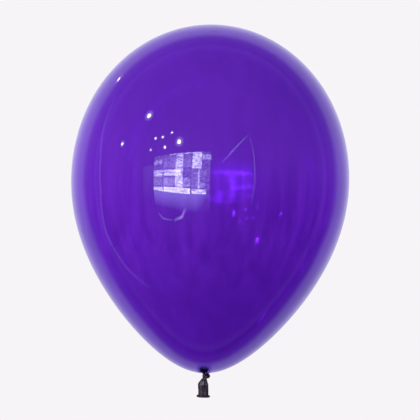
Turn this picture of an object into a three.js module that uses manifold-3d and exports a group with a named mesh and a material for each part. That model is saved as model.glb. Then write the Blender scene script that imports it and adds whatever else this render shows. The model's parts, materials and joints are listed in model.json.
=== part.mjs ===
// Tied latex balloon, blown up to the size of a 12 inch party balloon.
// Millimetres, +Z up. The origin is the film's lowest point, where the neck leaves it.
// A balloon is dipped as one skin and tied in itself. The pieces below are its working sections: the blown
// film, the gathered throat inside it, the neck, the knot (core and loop), and the open tail with its lip.
import * as THREE from "three";
import { mergeVertices } from "three/addons/utils/BufferGeometryUtils.js";
import Module from "manifold-3d";

// Blown film
const EQUATOR_RADIUS = 145;
const CROWN_HEIGHT = 161.5;       // from the widest ring up to the crown
const TAPER_HEIGHT = 203.5;       // from the widest ring down to the neck
const CROWN_FULLNESS = -0.011;    // below zero, the shoulders under the crown are rounder than an ellipse
const NECK_TAPER = 0.3;           // how far the lower half narrows towards a cone
const FILM_WALL = 0.25;           // the relaxed skin; blown up it is about a twentieth of this

// Neck and gathered throat
const STEM_RADIUS = 1.7;
const STEM_LENGTH = 1.9;          // between the centres of its two round ends
const THROAT_SWING_ROOM = 0.8;    // lets the stem lean inside the throat
const THROAT_WALL = 0.7;
const THROAT_DROP = 0.9;          // how far its sleeve reaches below the film
const THROAT_HEIGHT = 6.2;
const THROAT_FLARE_RADIUS = 5.3;
const CUP_LIFT = 0.9;             // the cup starts to open this far above the film's inside
const CUP_BELLY_SHARE = 0.4;      // it is half open at this share of its height

// Knot
const KNOT_WIDTH = 6.8;
const KNOT_DEPTH = 6.8;
const KNOT_HEIGHT = 6.4;
const KNOT_SIDE_SHIFT = 1.8;      // the knot pulls up to one side of the neck
const LOOP_STRAND_RADIUS = 1.3;
const LOOP_RISE = 0.6;            // the loop lies above the knot's middle
const LOOP_SUNK = 0.325;          // the strand's centre line lies this far inside the knot's outline
const LOOP_LEAN = THREE.MathUtils.degToRad(25);

// Tail
const BALL_RADIUS = 1.4;          // top of the pinch, where it leaves the knot
const PINCH_LENGTH = 2.2;         // from the sway pivot to the fold line
const PINCH_WIDTH = 6.4;
const FOLD_RADIUS = 1.3;
const TAIL_WIDTH = 12.1;
const TAIL_DEPTH = 5;
const TAIL_LENGTH = 13;
const TAIL_WALL = 0.8;
const TAIL_SHUT_LENGTH = 2.4;     // squeezed shut next to the knot
const SHOULDER_HEIGHT = 3.6;
const LIP_THICKNESS = 2.2;
const LIP_ROUND_SHARE = 0.35;     // the lip's edges are rounded over by this share of its thickness

// Clearances
const GAP = 0.3;                  // between pieces that touch in the real balloon
const CUT_PAST = 1;               // how far a cutter runs past what it cuts

// Facets
const FILM_SEGMENTS = 48;
const CROWN_ROWS = 13;
const TAPER_ROWS = 16;
const SMALL_SEGMENTS = 20;
const SMALL_ROWS = 10;
const KNOT_SEGMENTS = 28;
const KNOT_ROWS = 14;
const ARC_STEPS = 6;
const LIP_ROUND_STEPS = 2;
const WELD_DISTANCE = 1e-4;

// Heights of the joints and sections, from the top down. The stem leans about the origin.
const tiltPivotZ = -STEM_LENGTH;
const knotCentreZ = tiltPivotZ - KNOT_HEIGHT / 2;
const swayPivotZ = knotCentreZ - KNOT_HEIGHT / 2 - GAP;
const foldLineZ = swayPivotZ - PINCH_LENGTH;
const tailTopZ = foldLineZ - FOLD_RADIUS / 2;
const tailBottomZ = tailTopZ - TAIL_LENGTH;
const lipCentreZ = tailBottomZ - GAP - LIP_THICKNESS / 2;

const FILM_COLOUR = 0x4a1596;
const THICK_RUBBER_COLOUR = 0x1f1228;
const FILM_ROUGHNESS = 0.08;
const THICK_RUBBER_ROUGHNESS = 0.3;

const wasm = await Module();
wasm.setup();

function toSolid(geometry) {
  const bare = geometry.clone();
  bare.deleteAttribute("normal");
  bare.deleteAttribute("uv");
  const indexed = mergeVertices(bare, WELD_DISTANCE);
  return new wasm.Manifold(new wasm.Mesh({
    numProp: 3,
    vertProperties: new Float32Array(indexed.attributes.position.array),
    triVerts: new Uint32Array(indexed.index.array),
  }));
}

function toGeometry(solid) {
  const mesh = solid.getMesh();
  const geometry = new THREE.BufferGeometry();
  geometry.setAttribute("position", new THREE.BufferAttribute(mesh.vertProperties, 3));
  geometry.setIndex(new THREE.BufferAttribute(mesh.triVerts, 1));
  geometry.computeVertexNormals();
  return geometry;
}

function rubber(name, geometry, color, roughness) {
  const material = new THREE.MeshStandardMaterial({ color, roughness, metalness: 0 });
  const mesh = new THREE.Mesh(geometry, material);
  mesh.name = name;
  return mesh;
}

function thickRubber(name, geometry) {
  return rubber(name, geometry, THICK_RUBBER_COLOUR, THICK_RUBBER_ROUGHNESS);
}

// A lathe turned from its own Y axis onto +Z. The profile runs from high to low on its outside.
function latheOnZ(profile, segments) {
  const geometry = new THREE.LatheGeometry(profile, segments);
  geometry.rotateX(Math.PI / 2);
  return geometry;
}

function ball(radius, z) {
  const geometry = new THREE.SphereGeometry(radius, SMALL_SEGMENTS, SMALL_ROWS);
  geometry.rotateX(Math.PI / 2);
  geometry.translate(0, 0, z);
  return geometry;
}

// The film's profile: an ellipse above the widest ring, and a longer, tapered one below it.
// The angle runs from 0 at the crown to PI at the neck, and the inset is measured square to the skin.
function filmPoint(angle, inset) {
  const sine = Math.sin(angle);
  const cosine = Math.cos(angle);
  const inUpperHalf = cosine > 0;
  const taper = inUpperHalf ? CROWN_FULLNESS : NECK_TAPER;
  const height = inUpperHalf ? CROWN_HEIGHT : TAPER_HEIGHT;
  const radius = EQUATOR_RADIUS * sine * (1 - taper * cosine ** 2);
  const radiusSlope = EQUATOR_RADIUS * cosine * (1 - taper * cosine ** 2 + 2 * taper * sine ** 2);
  const heightSlope = -height * sine;
  const slope = Math.hypot(radiusSlope, heightSlope);
  return new THREE.Vector2(
    Math.max(radius + inset * heightSlope / slope, 0),
    TAPER_HEIGHT + height * cosine - inset * radiusSlope / slope,
  );
}

const throatBore = STEM_RADIUS + THROAT_SWING_ROOM;
const throatSleeveRadius = throatBore + THROAT_WALL;

function makeFilm() {
  const holeRadius = throatSleeveRadius + GAP;
  const holeAngle = Math.PI - holeRadius / (EQUATOR_RADIUS * (1 - NECK_TAPER));
  const angles = [];
  for (let row = 0; row < CROWN_ROWS; row += 1) {
    angles.push((Math.PI / 2) * (row / CROWN_ROWS));
  }
  for (let row = 0; row <= TAPER_ROWS; row += 1) {
    angles.push(Math.PI / 2 + (holeAngle - Math.PI / 2) * (row / TAPER_ROWS));
  }
  const outside = angles.map((angle) => filmPoint(angle, 0));
  const inside = angles.map((angle) => filmPoint(angle, FILM_WALL)).reverse();
  return latheOnZ([...outside, ...inside].reverse(), FILM_SEGMENTS);
}

// The rubber bunches up inside the film where the neck is drawn tight: a small cup with a rounded rim.
function makeThroat() {
  const rimRadius = THROAT_WALL / 2;
  const cupBottom = FILM_WALL + CUP_LIFT;
  const rimZ = THROAT_HEIGHT - rimRadius;
  const cup = new THREE.SplineCurve([
    new THREE.Vector2(throatSleeveRadius, cupBottom),
    new THREE.Vector2((throatSleeveRadius + THROAT_FLARE_RADIUS) / 2, THROAT_HEIGHT * CUP_BELLY_SHARE),
    new THREE.Vector2(THROAT_FLARE_RADIUS, rimZ),
  ]).getPoints(ARC_STEPS);
  const profile = [new THREE.Vector2(throatSleeveRadius, -THROAT_DROP), ...cup];
  for (let step = 1; step < ARC_STEPS; step += 1) {
    const angle = Math.PI * (step / ARC_STEPS);
    profile.push(new THREE.Vector2(
      THROAT_FLARE_RADIUS - rimRadius + rimRadius * Math.cos(angle),
      rimZ + rimRadius * Math.sin(angle),
    ));
  }
  profile.push(...cup.reverse().map((point) => new THREE.Vector2(point.x - THROAT_WALL, point.y)));
  profile.push(new THREE.Vector2(throatBore, -THROAT_DROP));
  profile.push(profile[0].clone());
  return latheOnZ(profile, SMALL_SEGMENTS);
}

function makeStem() {
  const geometry = new THREE.CapsuleGeometry(STEM_RADIUS, STEM_LENGTH, ARC_STEPS, SMALL_SEGMENTS);
  geometry.rotateX(Math.PI / 2);
  geometry.translate(0, 0, -STEM_LENGTH / 2);
  return geometry;
}

const loopRadius = KNOT_WIDTH / 2 - LOOP_SUNK;

function loopRing(strandRadius) {
  const geometry = new THREE.TorusGeometry(loopRadius, strandRadius, SMALL_ROWS, KNOT_SEGMENTS);
  geometry.rotateY(-LOOP_LEAN);
  geometry.translate(KNOT_SIDE_SHIFT, 0, knotCentreZ + LOOP_RISE);
  return geometry;
}

// The knot's core: a lump with a round seat for the stem above, one for the tail below,
// and the groove that the loop lies in.
function makeKnotCore() {
  const lump = new THREE.SphereGeometry(0.5, KNOT_SEGMENTS, KNOT_ROWS);
  lump.rotateX(Math.PI / 2);
  lump.scale(KNOT_WIDTH, KNOT_DEPTH, KNOT_HEIGHT);
  lump.translate(KNOT_SIDE_SHIFT, 0, knotCentreZ);
  const core = toSolid(lump)
    .subtract(toSolid(ball(STEM_RADIUS + GAP, tiltPivotZ)))
    .subtract(toSolid(ball(BALL_RADIUS + GAP, swayPivotZ)))
    .subtract(toSolid(loopRing(LOOP_STRAND_RADIUS + GAP)));
  return toGeometry(core);
}

// The twisted start of the tail: round where it leaves the knot, and flattened to a fold line below.
function makePinch() {
  const web = new THREE.CylinderGeometry(BALL_RADIUS, PINCH_WIDTH / 2, PINCH_LENGTH, SMALL_SEGMENTS);
  web.rotateX(Math.PI / 2);
  web.scale(1, (2 * FOLD_RADIUS) / PINCH_WIDTH, 1);
  web.translate(0, 0, (swayPivotZ + foldLineZ) / 2);
  const fold = new THREE.CapsuleGeometry(FOLD_RADIUS, PINCH_WIDTH - 2 * FOLD_RADIUS, ARC_STEPS, SMALL_SEGMENTS);
  fold.rotateZ(Math.PI / 2);
  fold.translate(0, 0, foldLineZ);
  const pinch = toSolid(ball(BALL_RADIUS, swayPivotZ)).add(toSolid(web)).add(toSolid(fold));
  return toGeometry(pinch);
}

// An outline with two flat sides and two round ends, centred on the origin.
function flatTubeOutline(outline, width, depth) {
  const flat = (width - depth) / 2;
  outline.moveTo(-flat, -depth / 2);
  outline.lineTo(flat, -depth / 2);
  outline.absarc(flat, 0, depth / 2, -Math.PI / 2, Math.PI / 2);
  outline.lineTo(-flat, depth / 2);
  outline.absarc(-flat, 0, depth / 2, Math.PI / 2, 1.5 * Math.PI);
  return outline;
}

function flatTube(width, depth, length, bottomZ) {
  const geometry = new THREE.ExtrudeGeometry(flatTubeOutline(new THREE.Shape(), width, depth), {
    depth: length, bevelEnabled: false, curveSegments: SMALL_ROWS,
  });
  geometry.translate(0, 0, bottomZ);
  return geometry;
}

// What the shoulders leave of the tail, seen from the front: they round over from the fold line to full width.
function shoulderBlank() {
  const outline = new THREE.Shape();
  outline.moveTo(-TAIL_WIDTH / 2, 0);
  outline.lineTo(TAIL_WIDTH / 2, 0);
  outline.lineTo(TAIL_WIDTH / 2, TAIL_LENGTH - SHOULDER_HEIGHT);
  outline.quadraticCurveTo(TAIL_WIDTH / 2, TAIL_LENGTH, PINCH_WIDTH / 2, TAIL_LENGTH);
  outline.lineTo(-PINCH_WIDTH / 2, TAIL_LENGTH);
  outline.quadraticCurveTo(-TAIL_WIDTH / 2, TAIL_LENGTH, -TAIL_WIDTH / 2, TAIL_LENGTH - SHOULDER_HEIGHT);
  const geometry = new THREE.ExtrudeGeometry(outline, {
    depth: TAIL_DEPTH + 2 * CUT_PAST, bevelEnabled: false, curveSegments: ARC_STEPS,
  });
  geometry.rotateX(Math.PI / 2);
  geometry.translate(0, TAIL_DEPTH / 2 + CUT_PAST, tailBottomZ);
  return geometry;
}

// The open tube below the knot, lying flat, with its mouth down and its top squeezed shut.
function makeTail() {
  const boreLength = TAIL_LENGTH - TAIL_SHUT_LENGTH + CUT_PAST;
  const bore = flatTube(
    TAIL_WIDTH - 2 * TAIL_WALL, TAIL_DEPTH - 2 * TAIL_WALL, boreLength, tailBottomZ - CUT_PAST,
  );
  const seat = new THREE.CylinderGeometry(
    FOLD_RADIUS + GAP, FOLD_RADIUS + GAP, TAIL_WIDTH + 2 * CUT_PAST, SMALL_SEGMENTS,
  );
  seat.rotateZ(Math.PI / 2);
  seat.translate(0, 0, foldLineZ);
  const tail = toSolid(flatTube(TAIL_WIDTH, TAIL_DEPTH, TAIL_LENGTH, tailBottomZ))
    .intersect(toSolid(shoulderBlank()))
    .subtract(toSolid(bore))
    .subtract(toSolid(seat));
  return toGeometry(tail);
}

// The rolled lip: a ring of film rolled up on itself, as wide as the tail's edge that it ends.
function makeLip() {
  const roundOver = LIP_THICKNESS * LIP_ROUND_SHARE;
  const band = LIP_THICKNESS - 2 * roundOver;
  const middleWidth = TAIL_WIDTH + GAP;
  const middleDepth = TAIL_DEPTH + GAP;
  const outline = flatTubeOutline(new THREE.Shape(), middleWidth + band, middleDepth + band);
  outline.holes.push(flatTubeOutline(new THREE.Path(), middleWidth - band, middleDepth - band));
  const geometry = new THREE.ExtrudeGeometry(outline, {
    depth: band, curveSegments: SMALL_ROWS,
    bevelSize: roundOver, bevelThickness: roundOver, bevelSegments: LIP_ROUND_STEPS,
  });
  geometry.translate(0, 0, lipCentreZ - band / 2);
  return geometry;
}

const balloon = new THREE.Group();
balloon.name = "latex_balloon";
balloon.add(
  rubber("envelope_film", makeFilm(), FILM_COLOUR, FILM_ROUGHNESS),
  thickRubber("throat_collar", makeThroat()),
  thickRubber("neck_stem", makeStem()),
  thickRubber("knot_core", makeKnotCore()),
  thickRubber("knot_loop", loopRing(LOOP_STRAND_RADIUS)),
  thickRubber("tail_pinch", makePinch()),
  thickRubber("tail_tube", makeTail()),
  thickRubber("rolled_lip", makeLip()),
);

export default balloon;
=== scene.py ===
"""A tied, clear violet latex balloon: blown film, gathered throat, neck, knot and open tail with a rolled lip."""
import json
import math

import bpy
import numpy as np
from bpy.props import FloatProperty, FloatVectorProperty, IntProperty, PointerProperty
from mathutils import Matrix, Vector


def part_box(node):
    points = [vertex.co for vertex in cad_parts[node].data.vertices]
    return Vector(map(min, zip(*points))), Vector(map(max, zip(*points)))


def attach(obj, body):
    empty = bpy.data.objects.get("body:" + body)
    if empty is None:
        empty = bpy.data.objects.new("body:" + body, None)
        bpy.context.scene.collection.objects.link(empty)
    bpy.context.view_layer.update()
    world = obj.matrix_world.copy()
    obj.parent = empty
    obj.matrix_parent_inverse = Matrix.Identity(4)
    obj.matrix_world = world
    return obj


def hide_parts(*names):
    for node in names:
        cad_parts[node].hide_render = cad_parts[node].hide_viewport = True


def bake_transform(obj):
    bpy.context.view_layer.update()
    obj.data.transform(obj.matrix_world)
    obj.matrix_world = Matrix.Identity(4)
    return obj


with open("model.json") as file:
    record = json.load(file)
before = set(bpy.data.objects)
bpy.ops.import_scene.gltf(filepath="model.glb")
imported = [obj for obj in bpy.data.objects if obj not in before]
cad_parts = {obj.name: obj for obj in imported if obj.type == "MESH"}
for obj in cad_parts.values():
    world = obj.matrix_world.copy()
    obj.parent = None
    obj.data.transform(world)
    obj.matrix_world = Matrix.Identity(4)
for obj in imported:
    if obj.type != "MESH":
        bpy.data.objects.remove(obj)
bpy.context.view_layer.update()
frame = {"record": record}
FILM_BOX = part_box("envelope_film")
THROAT_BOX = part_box("throat_collar")
STEM_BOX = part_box("neck_stem")
KNOT_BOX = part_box("knot_core")
LOOP_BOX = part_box("knot_loop")
PINCH_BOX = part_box("tail_pinch")
TAIL_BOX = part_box("tail_tube")
LIP_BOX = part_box("rolled_lip")
HINGES = {joint["name"]: joint["pos_m"] for joint in frame["record"]["behaviour"]["joints"]}

bl_info = {
    "name": "Latex balloon",
    "version": (1, 0, 0),
    "blender": (4, 5, 0),
    "location": "3D view > Sidebar > Balloon",
    "description": "Builds a tied latex balloon round its CAD frame",
    "category": "Add Mesh",
}

MM = 0.001
TURN = 2 * math.pi

# Rows of the film: its first ring, the angle that its last stretch takes up, and the rows on each side of that
CROWN_START = 0.004
NECK_SPAN = 0.16
BODY_ROWS, NECK_ROWS = 190, 60
PLEAT_REACH = 7.5 * MM      # the creases at the neck fade over this
FUNNEL_REACH = 1.1 * MM     # and the drawn-down funnel over this

# What the film does with light
HAZE_SHARE = 0.004
MIRROR_ROUGHNESS = 0.012
REAR_ROUGHNESS = 0.07       # more of it on the inside, for the rear wall's softer reflections
STRAIGHT_MIRROR = 0.06      # how much it mirrors seen straight on
REAR_MIRROR = 0.04          # and how much more on the inside
EDGE_MIRROR = 0.92          # what it mirrors more at its edges
EDGE_POWER = 5.0
THICKNESS_AT_MIDDLE = 0.36  # from 0, the thin tint, to 1, the thick one


# ---------------------------------------------------------------- sizes and colours

def length(name, description, default):
    return FloatProperty(name=name, description=description, default=default, unit="LENGTH", precision=5)


def colour(name, description, default):
    return FloatVectorProperty(
        name=name, description=description, default=default, size=3, min=0, max=1, subtype="COLOR",
    )


class FilmSettings(bpy.types.PropertyGroup):
    equator_radius: length("Equator radius", "Radius of the widest ring", FILM_BOX[1][0])
    crown_z: length("Crown", "Height of the crown above the neck", FILM_BOX[1][2])
    equator_z: length("Equator height", "Height of the widest ring above the neck", 0.2035)
    crown_fullness: FloatProperty(
        name="Crown fullness", description="Below zero, the shoulders are rounder than an ellipse", default=-0.011)
    neck_taper: FloatProperty(
        name="Neck taper", description="How far the lower half narrows towards a cone", default=0.3)
    neck_radius: length("Neck radius", "Radius at which the film ends at the neck", 0.0021)
    funnel_depth: length("Funnel depth", "How far the film is drawn down at the neck", 0.0008)
    pleats: IntProperty(name="Pleats", description="Creases that run out from the knot", default=17)
    pleat_depth: length("Pleat depth", "Depth of the creases at the neck", 0.00012)
    waviness: length("Waviness", "Slow unevenness of the blown skin", 0.00012)
    drawn_tint: colour(
        "Drawn tint", "What the skin lets through where it is drawn into the neck", (0.05, 0.015, 0.16))
    mirror_tint: colour("Mirror tint", "Colour of what the film mirrors, from both its faces", (0.8, 0.77, 1.0))
    haze_tint: colour("Haze tint", "Colour of the faint milkiness in the skin", (0.5, 0.35, 0.75))
    thin_tint: colour("Thin tint", "What one layer of thin film lets through", (0.49, 0.185, 0.93))
    thick_tint: colour("Thick tint", "What one layer of thick film lets through", (0.215, 0.04, 0.525))


class NeckSettings(bpy.types.PropertyGroup):
    throat_wall: length("Throat wall", "Thickness of the gathered rubber", 0.0006)
    throat_pleats: IntProperty(name="Throat pleats", description="Folds round the gathered cup", default=9)
    gathered_light: colour("Gathered tint", "What one wall of the gathered film lets through", (0.42, 0.17, 0.7))
    gathered_dark: colour("Drawn tint", "The same where it is drawn into the neck", (0.3, 0.13, 0.52))
    stem_pleats: IntProperty(name="Neck pleats", description="Folds along the drawn neck", default=7)
    loop_band: length("Loop band", "Half the width of the flattened strand that wraps the knot", 0.0022)
    loop_thickness: length("Loop thickness", "Half the thickness of that strand", 0.0011)


class TailSettings(bpy.types.PropertyGroup):
    wall: length("Wall", "Thickness of the relaxed rubber", 0.00045)
    lip_radius: length("Lip radius", "Half the thickness of the rolled lip", 0.00105)
    dark: colour("Rubber", "Relaxed rubber where it lies double", (0.012, 0.005, 0.014))
    # Lighter rubber colour: mixed in by random cloud, by each piece's lightness, and as a painted glow of light
    # through the tail
    light: colour("Thin rubber", "Relaxed rubber where light comes through", (0.036, 0.022, 0.034))


class StudioSettings(bpy.types.PropertyGroup):
    backdrop: colour("Backdrop", "Colour behind the balloon", (0.93, 0.904, 0.93))
    floor_z: length("Floor", "Height of the floor", -0.5)
    floor_radius: length("Floor radius", "Size of the round floor", 1.2)
    camera_distance: length("Camera distance", "From the camera to the balloon's axis", 0.65)
    camera_z: length("Camera height", "Height of the camera above the neck", 0.17274)
    camera_side: length("Camera side", "How far the camera stands to the right of the axis", 0.00084)
    camera_roll: FloatProperty(name="Camera roll", description="Lean of the camera", default=math.radians(1.85),
                               subtype="ANGLE")
    focal_length: FloatProperty(name="Focal length", description="In millimetres on a 36 mm sensor", default=52.15)


# ---------------------------------------------------------------- meshes

def smooth_step(values, low, high):
    """0 below low, 1 above high, and an S curve between."""
    t = np.clip((values - low) / (high - low), 0, 1)
    return t * t * (3 - 2 * t)


def grid_object(name, points, rows_closed=False, caps=(False, False), fields=None):
    """A mesh on a grid of points, closed round its columns. With rows_closed its last row joins the first;
    each cap closes an end with a fan to the middle of that row, which takes the row's mean in every field. Faces
    point outwards where the columns run anticlockwise, seen from the last row."""
    rows, columns = points.shape[:2]
    index = np.arange(rows * columns).reshape(rows, columns)
    if rows_closed:
        lower, upper = index, np.roll(index, -1, axis=0)
    else:
        lower, upper = index[:-1], index[1:]
    quads = np.stack([lower, np.roll(lower, -1, axis=1), np.roll(upper, -1, axis=1), upper], axis=-1)
    faces = quads.reshape(-1, 4).tolist()
    vertices = points.reshape(-1, 3)
    for cap, row, flip in ((caps[0], 0, True), (caps[1], rows - 1, False)):
        if cap:
            middle = len(vertices)
            vertices = np.vstack([vertices, points[row].mean(axis=0)])
            ring, following = index[row], np.roll(index[row], -1)
            pair = (following, ring) if flip else (ring, following)
            fan = np.stack([*pair, np.full(columns, middle)], axis=-1)
            faces += fan.tolist()
    mesh = bpy.data.meshes.new(name)
    mesh.from_pydata(vertices.tolist(), [], faces)
    mesh.update()
    mesh.polygons.foreach_set("use_smooth", np.ones(len(mesh.polygons), dtype=bool))
    for field, values in (fields or {}).items():
        ends = [values.reshape(rows, -1)[row].mean() for cap, row in zip(caps, (0, rows - 1)) if cap]
        flat = np.concatenate([values.reshape(-1), ends]).astype(np.float32)
        mesh.attributes.new(field, "FLOAT", "POINT").data.foreach_set("value", flat)
    piece = bpy.data.objects.new(name, mesh)
    bpy.context.scene.collection.objects.link(piece)
    return piece


def angles_round(columns):
    """Evenly spaced angles of one turn, the last one short of the first."""
    return np.linspace(0, TURN, columns, endpoint=False)


def film_profile(sizes, angle):
    """Radius and height along the skin: an ellipse above the widest ring, and below it a longer ellipse whose
    radius is narrowed by the taper times the squared cosine. The angle is 0 at the crown and pi at the neck."""
    cosine = np.cos(angle)
    above = cosine > 0
    height = np.where(above, sizes.crown_z - sizes.equator_z, sizes.equator_z)
    narrowing = np.where(above, sizes.crown_fullness, sizes.neck_taper)
    radius = sizes.equator_radius * np.sin(angle) * (1 - narrowing * cosine ** 2)
    return radius, sizes.equator_z + height * cosine


def film_points(sizes, columns=288):
    """The profile turned round the axis. Near the neck the height ripples with the pleats and sinks into the
    funnel, both fading exponentially with the radius; elsewhere four slow waves round the body move the skin.
    Known fault: ripple and funnel depend on the radius alone, so they also press a small dimple into the crown.
    They should end at the widest ring."""
    end = math.pi - sizes.neck_radius / (sizes.equator_radius * (1 - sizes.neck_taper))
    bend = math.pi - NECK_SPAN
    angle = np.concatenate([
        np.linspace(CROWN_START, bend, BODY_ROWS, endpoint=False), np.linspace(bend, end, NECK_ROWS),
    ])
    radius, height = film_profile(sizes, angle)
    radius, height = radius[:, None], height[:, None]
    around = -angles_round(columns)[None, :]
    tall = height / sizes.crown_z
    wave = (
        np.sin(2 * around + 5 * tall + 0.4)
        + 0.7 * np.sin(3 * around - 9 * tall + 1.9)
        + 0.5 * np.sin(5 * around + 14 * tall + 4.1)
        + 0.35 * np.sin(9 * around - 6 * tall + 2.2)
    )
    body = smooth_step(radius, 0.01, 0.05)
    radius = radius + sizes.waviness * wave * body
    near = np.exp(-((radius - sizes.neck_radius) / PLEAT_REACH))
    ripple = np.sin(sizes.pleats * around + 1.4 * np.sin(3 * around)) + 0.4 * np.sin(7 * around + 0.8)
    height = height + sizes.pleat_depth * ripple * near * smooth_step(radius, 2 * MM, PLEAT_REACH)
    height = height - sizes.funnel_depth * np.exp(-((radius - sizes.neck_radius) / FUNNEL_REACH))
    return np.stack([radius * np.cos(around), radius * np.sin(around), height + 0 * around], axis=-1)


# ---------------------------------------------------------------- materials

class Nodes:
    """A material's node tree, with short calls for the nodes used here."""

    def __init__(self, name):
        self.material = bpy.data.materials.new(name)
        self.material.use_nodes = True
        self.tree = self.material.node_tree
        self.tree.nodes.clear()
        self.output = self.tree.nodes.new("ShaderNodeOutputMaterial")

    def add(self, kind, **settings):
        node = self.tree.nodes.new(kind)
        for key, value in settings.items():
            setattr(node, key, value)
        return node

    def link(self, source, target):
        self.tree.links.new(source, target)

    def value(self, operation, *inputs, clamp=False):
        node = self.add("ShaderNodeMath", operation=operation, use_clamp=clamp)
        for socket, given in zip(node.inputs, inputs):
            if isinstance(given, (int, float)):
                socket.default_value = given
            else:
                self.link(given, socket)
        return node.outputs[0]

    def span(self, source, from_low, from_high, to_low=0.0, to_high=1.0, smooth=True):
        """The source carried from one range onto another, and held at its ends."""
        node = self.add("ShaderNodeMapRange", interpolation_type="SMOOTHSTEP" if smooth else "LINEAR")
        self.link(source, node.inputs["Value"])
        for socket, given in zip(node.inputs[1:5], (from_low, from_high, to_low, to_high)):
            socket.default_value = given
        return node.outputs["Result"]

    def noise(self, scale, detail=3.0, stretch=(1, 1, 1), roughness=0.5):
        """Noise on the piece's own coordinates. A stretch below 1 draws it out along that axis."""
        place = self.add("ShaderNodeTexCoord")
        mapping = self.add("ShaderNodeMapping")
        mapping.inputs["Scale"].default_value = stretch
        self.link(place.outputs["Object"], mapping.inputs["Vector"])
        texture = self.add("ShaderNodeTexNoise")
        texture.inputs["Scale"].default_value = scale
        texture.inputs["Detail"].default_value = detail
        texture.inputs["Roughness"].default_value = roughness
        self.link(mapping.outputs["Vector"], texture.inputs["Vector"])
        return texture.outputs["Fac"]

    def mix_colour(self, factor, first, second):
        node = self.add("ShaderNodeMix", data_type="RGBA")
        self.link(factor, node.inputs["Factor"])
        node.inputs[6].default_value = (*first, 1)
        node.inputs[7].default_value = (*second, 1)
        return node.outputs[2]

    def place(self):
        """The piece's own X, Y and Z."""
        coordinates = self.add("ShaderNodeTexCoord")
        parts = self.add("ShaderNodeSeparateXYZ")
        self.link(coordinates.outputs["Object"], parts.inputs[0])
        return parts.outputs


def film_material(sizes):
    """Clear tinted film: it lets light through tinted by its thickness, mirrors more at a grazing angle, and
    has a faint milky haze. It is thicker towards the crown and the neck; its tint is also darker towards +X
    and in lengthwise streaks that are strongest round its middle. It mirrors less where neck_dull says so,
    in front of the gathered cup."""
    m = Nodes("clear_violet_film")
    x, _, z = m.place()
    side = m.span(x, -sizes.equator_radius, sizes.equator_radius, -0.16, 0.2, smooth=False)
    low = m.span(z, 0.26, 0.02, 0.0, 0.38)
    crown = m.span(z, 0.2, 0.31, 0.0, 0.15)
    neck = m.add("ShaderNodeAttribute", attribute_name="neck_thickness").outputs["Fac"]
    cloud = m.span(m.noise(9.0, 2.0), 0.3, 0.7, -0.05, 0.05)
    streak = m.span(m.noise(80.0, 3.0, (1, 1, 0.08)), 0.3, 0.7, -0.5, 0.5)
    streak = m.value("MULTIPLY", streak, m.span(z, 0.26, 0.17, 0.07, 0.26))
    streak = m.value("MULTIPLY", streak, m.span(z, 0.06, 0.15, 0.3, 1.0))
    thickness = m.value("ADD", side, low)
    for part in (crown, cloud, streak):
        thickness = m.value("ADD", thickness, part)
    thickness = m.value("ADD", thickness, THICKNESS_AT_MIDDLE, clamp=True)
    drawn = m.add("ShaderNodeMix", data_type="RGBA")
    m.link(neck, drawn.inputs["Factor"])
    m.link(m.mix_colour(thickness, sizes.thin_tint, sizes.thick_tint), drawn.inputs[6])
    drawn.inputs[7].default_value = (*sizes.drawn_tint, 1)
    through = m.add("ShaderNodeBsdfTransparent")
    m.link(drawn.outputs[2], through.inputs["Color"])
    facing = m.add("ShaderNodeLayerWeight").outputs["Facing"]
    haze = m.add("ShaderNodeBsdfDiffuse")
    haze.inputs["Color"].default_value = (*sizes.haze_tint, 1)
    hazed = m.add("ShaderNodeMixShader")
    hazed.inputs["Fac"].default_value = HAZE_SHARE
    m.link(through.outputs[0], hazed.inputs[1])
    m.link(haze.outputs[0], hazed.inputs[2])
    mirror = m.add("ShaderNodeBsdfGlossy")
    mirror.inputs["Color"].default_value = (*sizes.mirror_tint, 1)
    inside = m.add("ShaderNodeNewGeometry").outputs["Backfacing"]
    m.link(m.value("MULTIPLY_ADD", inside, REAR_ROUGHNESS, MIRROR_ROUGHNESS), mirror.inputs["Roughness"])
    dull = m.add("ShaderNodeAttribute", attribute_name="neck_dull").outputs["Fac"]
    rise = m.value("POWER", facing, m.value("MULTIPLY_ADD", dull, 8.0, EDGE_POWER))
    straight = m.value("MULTIPLY_ADD", inside, REAR_MIRROR, STRAIGHT_MIRROR)
    straight = m.value("MULTIPLY", straight, m.value("MULTIPLY_ADD", dull, -0.7, 1.0))
    reflectance = m.value("MULTIPLY_ADD", rise, EDGE_MIRROR, straight)
    surface = m.add("ShaderNodeMixShader")
    m.link(reflectance, surface.inputs["Fac"])
    m.link(hazed.outputs[0], surface.inputs[1])
    m.link(mirror.outputs[0], surface.inputs[2])
    m.link(surface.outputs[0], m.output.inputs["Surface"])
    return m.material


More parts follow.
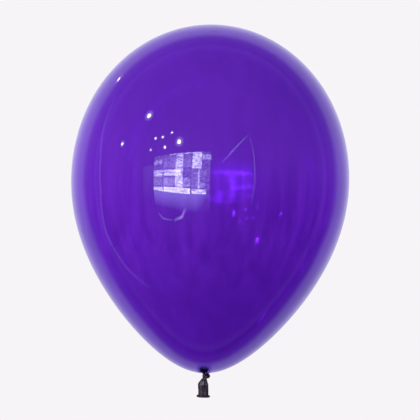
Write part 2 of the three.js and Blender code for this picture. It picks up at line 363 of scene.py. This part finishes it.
def rubber_material(name, tail, lightness):
    """Relaxed rubber: near-black violet with a soft gloss, cloudy colour, fine lengthwise wrinkles and a
    powdery grain. Lightness lifts the whole piece's colour; a painted glow lifts it further where light would
    shine through the rubber."""
    known = bpy.data.materials.get(name)
    if known:
        return known
    m = Nodes(name)
    cloud = m.span(m.noise(420.0, 4.0), 0.35, 0.7)
    # Painted glow: the colour is lifted where light would shine through the rubber
    thin = m.add("ShaderNodeAttribute", attribute_name="painted_glow").outputs["Fac"]
    blend = m.value("MULTIPLY_ADD", cloud, 0.22, lightness)
    blend = m.value("ADD", blend, thin, clamp=True)
    shader = m.add("ShaderNodeBsdfPrincipled")
    m.link(m.mix_colour(blend, tail.dark, tail.light), shader.inputs["Base Color"])
    grain = m.noise(2600.0, 5.0)
    m.link(m.span(grain, 0.3, 0.75, 0.3, 0.48), shader.inputs["Roughness"])
    shader.inputs["Coat Weight"].default_value = 0.15
    shader.inputs["Coat Roughness"].default_value = 0.22
    shader.inputs["Sheen Weight"].default_value = 0.12
    shader.inputs["Sheen Tint"].default_value = (0.8, 0.6, 0.8, 1)
    wrinkle = m.noise(900.0, 4.0, (1, 1, 0.22))
    height = m.value("MULTIPLY_ADD", grain, 0.25, wrinkle)
    bump = m.add("ShaderNodeBump")
    bump.inputs["Strength"].default_value = 0.35
    bump.inputs["Distance"].default_value = 0.00025
    m.link(height, bump.inputs["Height"])
    m.link(bump.outputs[0], shader.inputs["Normal"])
    m.link(shader.outputs[0], m.output.inputs["Surface"])
    return m.material


def dress(piece, material):
    """Give a piece its material."""
    piece.data.materials.append(material)
    return piece


# ---------------------------------------------------------------- pieces

class BALLOON_OT_film(bpy.types.Operator):
    """Make the blown film"""
    bl_idname = "balloon.film"
    bl_label = "Blown film"

    def execute(self, context):
        sizes = context.scene.balloon_film
        points = film_points(sizes)
        radius = np.hypot(points[..., 0], points[..., 1])
        low = points[..., 2] < sizes.equator_z
        thick = np.exp(-(radius - sizes.neck_radius) / 0.0016)
        front = np.exp(-(points[..., 0] / 0.0062) ** 4) * (points[..., 1] < 0)
        dull = front * (1 - smooth_step(radius, 0.036, 0.05))
        fields = {"neck_thickness": thick * low, "neck_dull": dull * low}
        piece = grid_object("blown_film", points, caps=(True, False), fields=fields)
        dress(piece, film_material(sizes))
        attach(piece, "film")
        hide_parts("envelope_film")
        return {"FINISHED"}


def cup_points(sizes, columns=108):
    """A cup whose radius grows from the sleeve to its belly as an S curve and curls in again at the rim, times
    one plus shallow pleats, whose depth grows with height. The wall goes up outside and down inside."""
    around = angles_round(columns)[None, :]
    low = THROAT_BOX[0][2] + 1.05 * MM
    rim_z = 0.72 * THROAT_BOX[1][2]
    up = np.linspace(0, 1, 36)[:, None]
    sleeve = sizes.throat_wall + 0.003
    belly = THROAT_BOX[1][0] - 0.0003
    folds = np.sin(sizes.throat_pleats * around + 0.9 * np.sin(2 * around)) + 0.3 * np.sin(5 * around + 1.0)
    radius = sleeve + (belly - sleeve) * smooth_step(up, 0.04, 0.5) - 0.0011 * smooth_step(up, 0.6, 1.0) ** 2
    radius = radius * (1 + 0.022 * folds * smooth_step(up, 0.1, 0.8))
    edge = 0.00012 * folds * up ** 3 - 0.0004 * up ** 3 * (1 - np.cos(around - 1.9)) / 2
    height = low + (rim_z - low) * up + edge
    outside = np.stack([radius * np.cos(around), radius * np.sin(around), height], axis=-1)
    lean = np.linspace(0, math.pi, 9)[1:-1, None]
    half = sizes.throat_wall / 2
    top = outside[-1:]
    rim_radius = np.hypot(top[..., 0], top[..., 1])
    roll_radius = rim_radius - half + half * np.cos(lean)
    roll = np.stack([
        roll_radius * np.cos(around), roll_radius * np.sin(around), top[..., 2] + half * np.sin(lean),
    ], axis=-1)
    inner_radius = radius[::-1] - sizes.throat_wall
    inside = np.stack([
        inner_radius * np.cos(around), inner_radius * np.sin(around), height[::-1],
    ], axis=-1)
    return np.concatenate([outside, roll, inside])


def gathered_material(sizes):
    """Gathered film: several skins lying together, so clear violet but much darker, darkest where they are drawn
    into the neck, with a soft gloss and lengthwise creases."""
    m = Nodes("gathered_film")
    _, _, z = m.place()
    drawn = m.span(z, 0.0045, -0.0005, 0.0, 1.0)
    crease = m.span(m.noise(500.0, 3.0, (1, 1, 0.2)), 0.3, 0.7, -0.25, 0.25)
    through = m.add("ShaderNodeBsdfTransparent")
    depth = m.value("ADD", drawn, crease, clamp=True)
    m.link(m.mix_colour(depth, sizes.gathered_light, sizes.gathered_dark), through.inputs["Color"])
    gloss = m.add("ShaderNodeBsdfPrincipled")
    gloss.inputs["Base Color"].default_value = (0.015, 0.006, 0.035, 1)
    gloss.inputs["Roughness"].default_value = 0.28
    bump = m.add("ShaderNodeBump")
    bump.inputs["Strength"].default_value = 0.4
    bump.inputs["Distance"].default_value = 0.0003
    m.link(m.noise(700.0, 3.0, (1, 1, 0.3)), bump.inputs["Height"])
    m.link(bump.outputs[0], gloss.inputs["Normal"])
    surface = m.add("ShaderNodeMixShader")
    m.link(m.value("MULTIPLY_ADD", drawn, 0.22, 0.08), surface.inputs["Fac"])
    m.link(through.outputs[0], surface.inputs[1])
    m.link(gloss.outputs[0], surface.inputs[2])
    m.link(surface.outputs[0], m.output.inputs["Surface"])
    return m.material


class BALLOON_OT_throat(bpy.types.Operator):
    """Make the gathered rubber inside the film, above the knot"""
    bl_idname = "balloon.throat"
    bl_label = "Gathered throat"

    def execute(self, context):
        scene = context.scene
        sizes = scene.balloon_neck
        piece = grid_object("gathered_throat", cup_points(sizes), rows_closed=True)
        dress(piece, gathered_material(sizes))
        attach(piece, "throat")
        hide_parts("throat_collar")
        return {"FINISHED"}


def pleated_tube(centres, half_widths, half_depths, pleats, depth, twist, columns=72, wander=0.0):
    """A tube along a path that runs down: each row is an ellipse about its centre, level, whose radius ripples
    with the pleats. The pleats turn by twist from the first row to the last, and wander shifts their depth."""
    rows = len(centres)
    around = -angles_round(columns)[None, :]
    down = np.linspace(0, 1, rows)[:, None]
    turned = around + twist * down
    ripple = np.sin(pleats * turned) + wander * np.sin((pleats // 2) * turned + 2.1)
    swell = 1 + depth * np.reshape(ripple, (rows, -1))
    x = centres[:, 0, None] + half_widths[:, None] * swell * np.cos(around)
    y = centres[:, 1, None] + half_depths[:, None] * swell * np.sin(around)
    return np.stack([x, y, centres[:, 2, None] + 0 * x], axis=-1)


class BALLOON_OT_neck(bpy.types.Operator):
    """Make the drawn neck between film and knot"""
    bl_idname = "balloon.neck"
    bl_label = "Drawn neck"

    def execute(self, context):
        scene = context.scene
        down = np.linspace(0, 1, 40)
        height = STEM_BOX[1][2] + (STEM_BOX[0][2] - STEM_BOX[1][2]) * down
        centres = np.stack([0 * down, 0 * down, height], axis=-1)
        radius = STEM_BOX[1][0] * (0.97 + 0.12 * np.cos(TURN * down)) * (1 - 0.45 * smooth_step(down, 0.5, 1))
        points = pleated_tube(centres, radius, radius, scene.balloon_neck.stem_pleats, 0.07, 1.2, wander=0.5)
        piece = grid_object("drawn_neck", points, caps=(True, True))
        dress(piece, rubber_material("drawn_rubber", scene.balloon_tail, 0.0))
        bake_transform(piece)
        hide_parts("neck_stem")
        return {"FINISHED"}


class BALLOON_OT_knot_core(bpy.types.Operator):
    """Make the strand that the knot is tied round"""
    bl_idname = "balloon.knot_core"
    bl_label = "Knot core"

    def execute(self, context):
        scene = context.scene
        down = np.linspace(0, 1, 72)
        top, bottom = KNOT_BOX[1][2] + 0.1 * MM, KNOT_BOX[0][2] - 0.5 * MM
        middle = (KNOT_BOX[0][0] + KNOT_BOX[1][0]) / 2
        bulge = np.sin(math.pi * down)
        centres = np.stack([0.75 * middle * bulge ** 0.8, 0 * down, top + (bottom - top) * down], axis=-1)
        half_width = 1.3 * MM + 1.5 * MM * bulge ** 0.7 + 0.25 * MM * np.sin(3.2 * TURN * down)
        half_depth = 1.3 * MM + 1.4 * MM * bulge ** 0.7
        points = pleated_tube(centres, half_width, half_depth, 6, 0.06, 2.6, columns=96, wander=0.8)
        piece = grid_object("knot_strand", points, caps=(True, True))
        dress(piece, rubber_material("knotted_rubber", scene.balloon_tail, 0.02))
        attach(piece, "knot")
        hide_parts("knot_core")
        return {"FINISHED"}


def loop_points(sizes, rows=160, columns=40):
    """A flattened strand carried round a leaning ring. Its section is an ellipse, tall along the ring's own
    axis, which rolls a little on its way round and thins where it tucks under itself."""
    along = np.linspace(0, TURN, rows, endpoint=False)[:, None]
    section = angles_round(columns)[None, :]
    lean = math.radians(28)
    across, tall = np.array([math.cos(lean), 0, math.sin(lean)]), np.array([-math.sin(lean), 0, math.cos(lean)])
    deep = np.array([0, 1, 0])
    centre = np.array([
        (LOOP_BOX[0][0] + LOOP_BOX[1][0]) / 2 + 0.6 * MM, 0,
        (LOOP_BOX[0][2] + LOOP_BOX[1][2]) / 2 - 0.5 * MM,
    ])
    ring = 2.55 * MM + 0.45 * MM * np.cos(along)
    outward = np.cos(along)[..., None] * across + np.sin(along)[..., None] * deep
    path = centre + ring[..., None] * outward + 0.5 * MM * np.sin(2 * along)[..., None] * tall
    tuck = 0.5 + 0.5 * np.cos(along - 0.3)
    half_tall = sizes.loop_band * (0.62 + 0.38 * tuck)
    half_thick = sizes.loop_thickness * (0.85 + 0.25 * tuck)
    roll = 0.45 * np.sin(along + 0.6)
    fold = 1 + 0.07 * np.sin(5 * section + 3 * along) + 0.04 * np.sin(9 * section - 2 * along)
    radial = half_thick * np.cos(section) * fold
    vertical = half_tall * np.sin(section) * fold
    turned_out = radial * np.cos(roll) - vertical * np.sin(roll)
    turned_up = radial * np.sin(roll) + vertical * np.cos(roll)
    return path + turned_out[..., None] * outward + turned_up[..., None] * tall


class BALLOON_OT_knot_loop(bpy.types.Operator):
    """Make the strand that wraps the knot"""
    bl_idname = "balloon.knot_loop"
    bl_label = "Knot loop"

    def execute(self, context):
        scene = context.scene
        piece = grid_object("knot_wrap", loop_points(scene.balloon_neck)[::-1], rows_closed=True)
        dress(piece, rubber_material("knotted_rubber", scene.balloon_tail, 0.02))
        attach(piece, "knot")
        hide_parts("knot_loop")
        return {"FINISHED"}


def tail_outline(height):
    """Half width, half depth and side shift of the tail at each height: narrow and round at the knot, one
    shoulder filling out sooner than the other and drawing in a little again, then nearly straight to the mouth."""
    down = PINCH_BOX[1][2] + 0.8 * MM - height
    spread = smooth_step(down, -0.6 * MM, 2.2 * MM)
    left = 0.7 * MM + 2.0 * MM * spread + 3.3 * MM * smooth_step(down, 1.0 * MM, 7.4 * MM)
    left = left - 0.6 * MM * smooth_step(down, 7.5 * MM, 16 * MM)
    right = 1.9 * MM + 1.4 * MM * spread + 1.75 * MM * smooth_step(down, 2.0 * MM, 8.4 * MM)
    right = right + 0.45 * MM * smooth_step(down, 7.5 * MM, 16 * MM)
    half_width = (left + right) / 2
    full = smooth_step(down, 0, 8 * MM)
    half_depth = 1.3 * MM + 0.8 * MM * spread + (TAIL_BOX[1][1] - 2.1 * MM) * full
    return half_width, half_depth - 0.5 * MM * np.sin(math.pi * full), (right - left) / 2


def tail_surface(height, inset, columns):
    """The tail's skin at the given heights, moved in by inset: a squarish oval, with creases that run down from
    the knot and fade, and one soft dent on each flat."""
    around = -angles_round(columns)[None, :]
    half_width, half_depth, shift = (part[:, None] for part in tail_outline(height))
    cosine, sine = np.cos(around), np.sin(around)
    x = np.sign(cosine) * np.abs(cosine) ** 0.82
    y = np.sign(sine) * np.abs(sine) ** 0.9
    fade = np.exp(-(PINCH_BOX[1][2] - height) / 5.5e-3)[:, None]
    crease = fade * (0.13 * np.sin(8 * around + 1.1) + 0.08 * np.sin(13 * around + 0.4))
    dent = 0.0004 * np.exp(-((x - 0.15) / 0.35) ** 2) * smooth_step(-height, 12 * MM, 18 * MM)[:, None]
    depth = (half_depth - inset) * y * (1 + crease) - np.sign(sine) * dent
    width = shift + (half_width - inset) * x * (1 + 0.5 * crease)
    return np.stack([width, depth, height[:, None] + 0 * x], axis=-1)


class BALLOON_OT_pinch(bpy.types.Operator):
    """Make the twisted start of the tail, under the knot"""
    bl_idname = "balloon.pinch"
    bl_label = "Twisted start"

    def execute(self, context):
        scene = context.scene
        height = np.linspace(PINCH_BOX[1][2] + 0.4 * MM, HINGES["tail_flop"][2] + 0.2 * MM, 30)
        points = tail_surface(height, 0.15 * MM, 120)
        piece = grid_object("tail_start", points, caps=(True, True))
        dress(piece, rubber_material("knotted_rubber", scene.balloon_tail, 0.02))
        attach(piece, "tail_root")
        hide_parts("tail_pinch")
        return {"FINISHED"}


class BALLOON_OT_tail(bpy.types.Operator):
    """Make the open, flattened tube below the knot"""
    bl_idname = "balloon.tail"
    bl_label = "Open tail"

    def execute(self, context):
        scene = context.scene
        settings = scene.balloon_tail
        pivot = HINGES["tail_flop"][2]
        top, bottom = PINCH_BOX[1][2] - 1.2 * MM, TAIL_BOX[0][2] - 1.6 * MM
        outside = tail_surface(np.linspace(top, bottom, 90), 0.0, 120)
        inside = tail_surface(np.linspace(bottom, pivot - 2.2 * MM, 60), settings.wall, 120)
        points = np.concatenate([outside, inside])
        spread = np.abs(points[..., 0]) / TAIL_BOX[1][0]
        # Painted glow: the colour is lifted towards the lower middle of the tail, as if light shone through the
        # rubber there
        thin = smooth_step(-points[..., 2], 14 * MM, 24 * MM) * (1 - smooth_step(spread, 0.35, 0.9))
        piece = grid_object("open_tail", points, caps=(True, True), fields={"painted_glow": 0.55 * thin})
        dress(piece, rubber_material("tail_rubber", settings, 0.12))
        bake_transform(piece)
        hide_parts("tail_tube")
        return {"FINISHED"}


class BALLOON_OT_lip(bpy.types.Operator):
    """Make the rolled lip round the tail's mouth"""
    bl_idname = "balloon.lip"
    bl_label = "Rolled lip"

    def execute(self, context):
        scene = context.scene
        settings = scene.balloon_tail
        mouth = tail_surface(np.array([TAIL_BOX[0][2]]), 0.0, 144)[0]
        middle = mouth.mean(axis=0)
        outward = mouth - middle
        outward[:, 2] = 0
        outward /= np.linalg.norm(outward, axis=1)[:, None]
        along = np.linspace(0, TURN, 144, endpoint=False)[:, None]
        section = angles_round(28)[None, :]
        radius = settings.lip_radius * (1 + 0.05 * np.sin(3 * along + 0.5) + 0.03 * np.sin(7 * along))
        height = (LIP_BOX[0][2] + LIP_BOX[1][2]) / 2 - 0.25 * MM - 0.02 * mouth[:, None, 0]
        turns = 1 + 0.035 * np.cos(6 * section + 0.5 * np.sin(2 * along))
        out = 0.75 * MM + radius * np.cos(section) * turns
        up = 0.95 * radius * np.sin(section) * turns
        points = mouth[:, None, :] + out[..., None] * outward[:, None, :]
        points[..., 2] = height + up
        piece = grid_object("rolled_lip_ring", points, rows_closed=True)
        dress(piece, rubber_material("lip_rubber", settings, 0.5))
        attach(piece, "tail")
        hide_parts("rolled_lip")
        return {"FINISHED"}


# ---------------------------------------------------------------- stage

def emission(name, tint, strength):
    """A surface that shines evenly."""
    m = Nodes(name)
    glow = m.add("ShaderNodeEmission")
    glow.inputs["Color"].default_value = (*tint, 1)
    glow.inputs["Strength"].default_value = strength
    m.link(glow.outputs[0], m.output.inputs["Surface"])
    return m.material


def shining(name, tint, mosaic=False):
    """A lamp's surface, added to what is beyond it: as bright as its corners say, and with mosaic broken up like
    a street seen through it."""
    m = Nodes(name)
    strength = m.add("ShaderNodeAttribute", attribute_name="glow").outputs["Fac"]
    if mosaic:
        x, _, z = m.place()
        flat = m.add("ShaderNodeCombineXYZ")
        m.link(x, flat.inputs[0])
        m.link(z, flat.inputs[1])
        bricks = m.add("ShaderNodeTexBrick")
        m.link(flat.outputs[0], bricks.inputs["Vector"])
        for socket, level in (("Color1", 1.25), ("Color2", 0.15), ("Mortar", 0.45)):
            bricks.inputs[socket].default_value = (level, level, level, 1)
        bricks.inputs["Scale"].default_value = 11.0
        bricks.inputs["Mortar Size"].default_value = 0.03
        strength = m.value("MULTIPLY", strength, bricks.outputs["Color"])
    glow = m.add("ShaderNodeEmission")
    glow.inputs["Color"].default_value = (*tint, 1)
    m.link(strength, glow.inputs["Strength"])
    beyond = m.add("ShaderNodeBsdfTransparent")
    added = m.add("ShaderNodeAddShader")
    m.link(glow.outputs[0], added.inputs[0])
    m.link(beyond.outputs[0], added.inputs[1])
    m.link(added.outputs[0], m.output.inputs["Surface"])
    return m.material


def lamp(name, faces, material):
    """Flat shining faces, each a list of (corner, strength). Only reflections and light see them."""
    corners = [corner for face in faces for corner, _ in face]
    strengths = [strength for face in faces for _, strength in face]
    counts = np.cumsum([0] + [len(face) for face in faces])
    loops = [list(range(first, last)) for first, last in zip(counts[:-1], counts[1:])]
    mesh = bpy.data.meshes.new(name)
    mesh.from_pydata([tuple(corner) for corner in corners], [], loops)
    mesh.attributes.new("glow", "FLOAT", "POINT").data.foreach_set("value", np.array(strengths, dtype=np.float32))
    mesh.materials.append(material)
    shown = bpy.data.objects.new(name, mesh)
    bpy.context.scene.collection.objects.link(shown)
    shown.visible_camera = False
    shown.visible_shadow = False


def wall_face(y, left, right, low, high, low_glow, high_glow, right_share=1.0):
    """An upright face on the front wall, its strength running from its lower to its upper edge, and at its right
    edge down to a share of that."""
    return [((left, y, low), low_glow), ((right, y, low), low_glow * right_share),
            ((right, y, high), high_glow * right_share), ((left, y, high), high_glow)]


def strip_faces(path, half_width, strength):
    """A thin line of light along a path of points, widened square to the line and to the way it faces."""
    path = np.array(path, dtype=float)
    along = np.gradient(path, axis=0)
    aside = np.cross(along, path - np.array([0, 0, 0.2]))
    aside *= half_width / np.linalg.norm(aside, axis=1)[:, None]
    fade = strength * np.sin(np.linspace(0.25, math.pi - 0.25, len(path)))
    return [
        [(path[i] - aside[i], fade[i]), (path[i] + aside[i], fade[i]),
         (path[i + 1] + aside[i + 1], fade[i + 1]), (path[i + 1] - aside[i + 1], fade[i + 1])]
        for i in range(len(path) - 1)
    ]


def facing_ring(middle, radius, count=20):
    """A ring of points round the middle, square to the line from there to the balloon."""
    aside = np.cross(middle, (0, 0, 1.0))
    aside /= np.linalg.norm(aside)
    upward = np.cross(aside, middle / np.linalg.norm(middle))
    turn = angles_round(count)[:, None]
    return middle + radius * (np.cos(turn) * aside + np.sin(turn) * upward)


def halo_faces(middle, radius, strength):
    """A round glow that fades to nothing at its edge, in two steps so that it falls off softly."""
    inner, outer = facing_ring(middle, 0.45 * radius), facing_ring(middle, radius)
    faces = []
    for i in range(len(inner)):
        j = (i + 1) % len(inner)
        faces.append([(middle, strength), (inner[i], 0.3 * strength), (inner[j], 0.3 * strength)])
        faces.append([(inner[i], 0.3 * strength), (outer[i], 0.0), (outer[j], 0.0), (inner[j], 0.3 * strength)])
    return faces


# The places of the window, lines and lamps were worked out with a separate program, by following mirrored rays
# from the film to this wall and ceiling, then rounded and adjusted.
WALL_Y = -1.8
WINDOW = (  # left, right, low, high, strength below and above
    (-1.64, 0.0, -0.11, 0.70, 2.4, 2.0),
    (-1.64, -1.265, -0.11, -0.02, 18, 18),
    (-1.64, -1.265, 0.02, 0.20, 3, 2),
    (-1.64, -1.265, 0.22, 0.36, 12, 12),
    (-1.64, -1.32, 0.50, 0.60, 6, 6),
    (-1.225, -0.45, -0.11, 0.0, 23, 23),
    (-1.225, -0.45, 0.03, 0.20, 6, 4),
    (-1.225, -0.70, 0.24, 0.36, 15, 15),
    (-1.225, -0.45, 0.40, 0.64, 3, 1),
    (-1.05, -0.45, 0.67, 0.69, 11, 11),
    (-0.84, -0.64, 0.0, 0.66, 13, 11),
    (-0.41, -0.08, -0.10, -0.01, 18, 18),
    (-0.41, -0.10, 0.02, 0.36, 3, 2),
    (-0.41, -0.19, 0.38, 0.69, 15, 15),
    (-0.26, -0.23, 0.0, 0.38, 12, 10),
    (-0.18, 0.02, 0.54, 0.64, 7, 7),
)
GLOWS = (  # the same, then the share left at the right edge
    (-1.66, -0.3, -0.5, -0.115, 0.0, 4.2, 1.0), (-0.3, 0.02, -0.5, -0.115, 0.0, 4.2, 0.2),
    (-2.3, -1.68, -0.45, 0.5, 0.0, 0.5, 1.8),
)
BLOOM = (-0.85, 0.15, 1.5, 0.7)    # middle on the wall, radius and strength of the glow round the window
LINES = (  # path, half width, strength: the room's cornice and corner, the sill's curve in two, the sheet's edge
    (((0.26, WALL_Y, 0.5), (0.63, WALL_Y, 0.87), (0.98, WALL_Y, 1.2)), 0.013, 2.6),
    (((1.02, WALL_Y, 1.2), (1.1, WALL_Y, 0.8), (1.14, WALL_Y, 0.2), (1.08, WALL_Y, -0.34)), 0.014, 1.5),
    (((-1.54, WALL_Y, -0.66), (-1.36, WALL_Y, -0.79), (-0.99, WALL_Y, -0.76)), 0.02, 2.2),
    (((-0.95, WALL_Y, -0.75), (-0.7, WALL_Y, -0.63), (-0.57, WALL_Y, -0.42)), 0.03, 4.0),
    (((-2.05, 0.63, 1.72), (-2.36, 0.46, 1.24), (-2.57, 0.18, 0.6), (-2.6, 0.13, -0.03), (-2.38, 0.32, -0.83),
      (-2.07, 0.13, -1.43), (-1.6, -0.28, -1.9)), 0.04, 0.7),
)
CEILING_Z = 1.9
DOWNLIGHTS = (  # x, y, radius, strength
    (-2.07, -1.35, 0.062, 40), (-1.84, -3.95, 0.1, 38), (-2.47, -3.03, 0.04, 30), (-2.94, -2.94, 0.042, 28),
    (-3.15, -4.3, 0.06, 30), (-5.35, -1.5, 0.075, 36), (-1.82, -2.9, 0.035, 22), (-4.5, -4.1, 0.06, 16),
    (-1.81, 1.31, 0.045, 12),
)


class BALLOON_OT_stage(bpy.types.Operator):
    """Make the floor, the studio light and the camera"""
    bl_idname = "balloon.stage"
    bl_label = "Stage"

    def execute(self, context):
        scene = context.scene
        studio = scene.balloon_studio
        self.make_floor(studio)
        self.make_world(scene, studio)
        self.make_window()
        self.make_downlights()
        self.make_camera(scene, studio)
        scene.view_settings.view_transform = "Standard"
        scene.view_settings.look = "None"
        return {"FINISHED"}

    def make_floor(self, studio):
        around = angles_round(96)
        ring = np.stack([np.cos(around), np.sin(around), 0 * around], axis=-1) * studio.floor_radius
        mesh = bpy.data.meshes.new("floor")
        mesh.from_pydata((ring + np.array([0, 0, studio.floor_z])).tolist(), [], [list(range(96))])
        mesh.materials.append(emission("pale_floor", studio.backdrop, 0.985))
        floor = bpy.data.objects.new("floor", mesh)
        bpy.context.scene.collection.objects.link(floor)
        floor.visible_glossy = False

    def make_world(self, scene, studio):
        """Plain pale behind the balloon. What it mirrors is a white sheet behind it and a dim room in front."""
        world = bpy.data.worlds.new("studio")
        world.use_nodes = True
        tree = world.node_tree
        tree.nodes.clear()
        add, link = tree.nodes.new, tree.links.new
        output = add("ShaderNodeOutputWorld")
        seen = add("ShaderNodeBackground")
        seen.inputs["Color"].default_value = (*studio.backdrop, 1)
        direction = add("ShaderNodeTexCoord")
        parts = add("ShaderNodeSeparateXYZ")
        link(direction.outputs["Generated"], parts.inputs[0])
        sheet = add("ShaderNodeValToRGB")
        sheet.color_ramp.interpolation = "EASE"
        shift = add("ShaderNodeMath")
        shift.operation = "MULTIPLY_ADD"
        shift.inputs[1].default_value = 0.5
        shift.inputs[2].default_value = 0.5
        link(parts.outputs["Y"], shift.inputs[0])
        link(shift.outputs[0], sheet.inputs["Fac"])
        ramp = sheet.color_ramp
        stops = (
            (0.0, (0.03, 0.03, 0.05)), (0.55, (0.035, 0.03, 0.06)), (0.60, (0.12, 0.11, 0.17)),
            (0.63, (0.03, 0.02, 0.05)), (0.70, (0.10, 0.09, 0.16)), (0.78, (0.62, 0.6, 0.72)),
            (1.0, (0.93, 0.92, 0.95)),
        )
        ramp.elements[0].position, ramp.elements[0].color = stops[0][0], (*stops[0][1], 1)
        ramp.elements[1].position, ramp.elements[1].color = stops[-1][0], (*stops[-1][1], 1)
        for position, tint in stops[1:-1]:
            ramp.elements.new(position).color = (*tint, 1)
        above = add("ShaderNodeMapRange")
        above.interpolation_type = "SMOOTHSTEP"
        link(parts.outputs["Z"], above.inputs["Value"])
        for socket, given in zip(above.inputs[1:5], (-0.25, 0.35, 0.0, 0.12)):
            socket.default_value = given
        ceiling = add("ShaderNodeMix")
        ceiling.data_type = "RGBA"
        ceiling.blend_type = "ADD"
        ceiling.inputs["Factor"].default_value = 1
        lift = add("ShaderNodeCombineColor")
        for socket in lift.inputs[:3]:
            link(above.outputs["Result"], socket)
        link(sheet.outputs["Color"], ceiling.inputs[6])
        link(lift.outputs[0], ceiling.inputs[7])
        mirrored = add("ShaderNodeBackground")
        link(ceiling.outputs[2], mirrored.inputs["Color"])
        rays = add("ShaderNodeLightPath")
        choose = add("ShaderNodeMixShader")
        link(rays.outputs["Is Camera Ray"], choose.inputs["Fac"])
        link(mirrored.outputs[0], choose.inputs[1])
        link(seen.outputs[0], choose.inputs[2])
        link(choose.outputs[0], output.inputs["Surface"])
        scene.world = world

    def make_window(self):
        """The window's parts shine one on top of another, each a hair in front of the last."""
        parts = [wall_face(WALL_Y + 0.002 * number, *part) for number, part in enumerate(WINDOW)]
        lamp("window", parts, shining("street", (0.86, 0.88, 1.0), mosaic=True))
        glows = [wall_face(WALL_Y - 0.02, *part) for part in GLOWS]
        x, z, radius, strength = BLOOM
        glows += halo_faces(np.array([x, WALL_Y - 0.03, z]), radius, strength)
        lamp("window_glow", glows, shining("daylight", (0.55, 0.58, 1.0)))
        lines = [face for path, half_width, strength in LINES for face in strip_faces(path, half_width, strength)]
        lamp("room_lines", lines, shining("lines", (0.9, 0.86, 1.0)))

    def make_downlights(self):
        """Round lamps under the ceiling, turned to the balloon, each with a halo that fades outwards."""
        faces = []
        for x, y, radius, strength in DOWNLIGHTS:
            middle = np.array([x, y, CEILING_Z])
            faces.append([(corner, strength) for corner in facing_ring(middle, radius)])
            faces += halo_faces(1.002 * middle, 3.0 * radius, 0.22 * strength)
        lamp("downlights", faces, shining("downlight", (1.0, 0.97, 0.95)))

    def make_camera(self, scene, studio):
        data = bpy.data.cameras.new("camera")
        data.lens = studio.focal_length
        data.clip_start = 0.01
        camera = bpy.data.objects.new("camera", data)
        camera.location = (studio.camera_side, -studio.camera_distance, studio.camera_z)
        camera.rotation_euler = (math.pi / 2, -studio.camera_roll, 0)
        scene.collection.objects.link(camera)
        scene.camera = camera


class BALLOON_PT_panel(bpy.types.Panel):
    """Lists the balloon's pieces"""
    bl_idname = "BALLOON_PT_panel"
    bl_label = "Latex balloon"
    bl_space_type = "VIEW_3D"
    bl_region_type = "UI"
    bl_category = "Balloon"

    def draw(self, context):
        for operator in PIECES:
            self.layout.operator(operator.bl_idname)
        for settings in SETTINGS:
            group = getattr(context.scene, settings)
            for key in group.bl_rna.properties.keys():
                if key not in {"rna_type", "name"}:
                    self.layout.prop(group, key)


PIECES = (
    BALLOON_OT_film, BALLOON_OT_throat, BALLOON_OT_neck, BALLOON_OT_knot_core, BALLOON_OT_knot_loop,
    BALLOON_OT_pinch, BALLOON_OT_tail, BALLOON_OT_lip, BALLOON_OT_stage,
)
SETTINGS = {
    "balloon_film": FilmSettings,
    "balloon_neck": NeckSettings,
    "balloon_tail": TailSettings,
    "balloon_studio": StudioSettings,
}


def register():
    for group in SETTINGS.values():
        bpy.utils.register_class(group)
    for name, group in SETTINGS.items():
        setattr(bpy.types.Scene, name, PointerProperty(type=group))
    for operator in PIECES:
        bpy.utils.register_class(operator)
    bpy.utils.register_class(BALLOON_PT_panel)


def unregister():
    bpy.utils.unregister_class(BALLOON_PT_panel)
    for operator in reversed(PIECES):
        bpy.utils.unregister_class(operator)
    for name, group in SETTINGS.items():
        delattr(bpy.types.Scene, name)
        bpy.utils.unregister_class(group)


def main():
    register()
    for operator in PIECES:
        group, action = operator.bl_idname.split(".")
        getattr(getattr(bpy.ops, group), action)()


if __name__ == "__main__":
    main()
